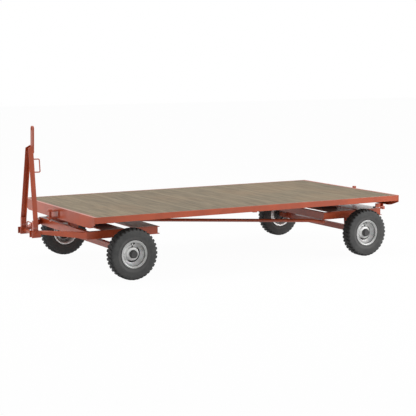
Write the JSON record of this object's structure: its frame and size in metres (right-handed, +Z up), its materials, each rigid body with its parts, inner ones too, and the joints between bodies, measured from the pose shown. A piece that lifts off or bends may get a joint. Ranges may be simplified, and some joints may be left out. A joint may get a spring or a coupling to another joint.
{
  "type": "four-wheel platform trailer",
  "caption": "Four-wheel platform trailer with a flat timber deck on a steel frame, linked turntable bogies, pneumatic tyres and an upright A-frame drawbar.",
  "frame": {"origin": "on the floor under the middle of the trailer's overall length and width", "axes": "+X towards the drawbar, +Y to the left when facing +X, +Z up"},
  "size_m": [3.376, 1.507, 1.2095],
  "materials": {
    "paint": "worn red-orange paint",
    "timber": "grey-brown weathered boards",
    "rubber": "matt black rubber",
    "zinc": "zinc silver",
    "dark_steel": "dark grey"
  },
  "bodies": {
    "chassis": {"side_rail_left": "paint", "side_rail_right": "paint", "end_member_front": "paint", "end_member_rear": "paint", "main_beam_left": "paint", "main_beam_right": "paint", "bearer_middle": "paint", "bolster_front": "paint", "bolster_rear": "paint", "ring_upper_front": "dark_steel", "ring_upper_rear": "dark_steel", "jaw_front": "paint", "jaw_rear": "paint", "jaw_pin_front": "paint", "jaw_pin_rear": "paint", "deck_board_01": "timber", "deck_board_02": "timber", "deck_board_03": "timber", "deck_board_04": "timber", "deck_board_05": "timber", "deck_board_06": "timber", "deck_board_07": "timber", "deck_board_08": "timber", "deck_board_09": "timber", "deck_board_10": "timber", "deck_board_11": "timber", "deck_board_12": "timber"},
    "front_bogie": {"bogie_frame_front": "paint", "ring_lower_front": "dark_steel", "axle_front": "paint", "draw_arm_left": "paint", "draw_arm_right": "paint"},
    "rear_bogie": {"bogie_frame_rear": "paint", "ring_lower_rear": "dark_steel", "axle_rear": "paint", "lock_bracket": "paint"},
    "drawbar": {"drawbar_leg_left": "paint", "drawbar_leg_right": "paint", "drawbar_eye": "paint", "drawbar_handle": "paint", "drawbar_hinge_tube": "paint", "drawbar_latch": "paint"},
    "steering_rod": {"steering_rod": "paint"},
    "wheel_front_left": {"tyre_front_left": "rubber", "rim_front_left": "zinc", "hub_front_left": "dark_steel"},
    "wheel_front_right": {"tyre_front_right": "rubber", "rim_front_right": "zinc", "hub_front_right": "dark_steel"},
    "wheel_rear_left": {"tyre_rear_left": "rubber", "rim_rear_left": "zinc", "hub_rear_left": "dark_steel"},
    "wheel_rear_right": {"tyre_rear_right": "rubber", "rim_rear_right": "zinc", "hub_rear_right": "dark_steel"}
  },
  "joints": [
    {"name": "front_steer", "type": "hinge", "parent": "chassis", "child": "front_bogie", "pos_m": [1.05415, 0, 0.388], "axis": [0, 0, 1], "range_deg": [-30, 30]},
    {"name": "rear_steer", "type": "hinge", "parent": "chassis", "child": "rear_bogie", "pos_m": [-1.24985, 0, 0.388], "axis": [0, 0, 1], "range_deg": [-30, 30]},
    {"name": "rod_pivot", "type": "hinge", "parent": "rear_bogie", "child": "steering_rod", "pos_m": [-0.94985, 0.49, 0.299], "axis": [0, 0, 1], "range_deg": [-30, 30]},
    {"name": "drawbar_fold", "type": "hinge", "parent": "front_bogie", "child": "drawbar", "pos_m": [1.65015, 0, 0.34], "axis": [0, 1, 0], "range_deg": [0, 102]},
    {"name": "wheel_front_left_spin", "type": "hinge", "parent": "front_bogie", "child": "wheel_front_left", "pos_m": [1.05415, 0.7, 0.2088], "axis": [0, 1, 0], "continuous": true},
    {"name": "wheel_front_right_spin", "type": "hinge", "parent": "front_bogie", "child": "wheel_front_right", "pos_m": [1.05415, -0.7, 0.2088], "axis": [0, 1, 0], "continuous": true},
    {"name": "wheel_rear_left_spin", "type": "hinge", "parent": "rear_bogie", "child": "wheel_rear_left", "pos_m": [-1.24985, 0.7, 0.2088], "axis": [0, 1, 0], "continuous": true},
    {"name": "wheel_rear_right_spin", "type": "hinge", "parent": "rear_bogie", "child": "wheel_rear_right", "pos_m": [-1.24985, -0.7, 0.2088], "axis": [0, 1, 0], "continuous": true}
  ],
  "couplings": [
    {"joint": "rear_steer", "follows": "front_steer", "ratio": -1},
    {"joint": "rod_pivot", "follows": "front_steer", "ratio": 1}
  ]
}
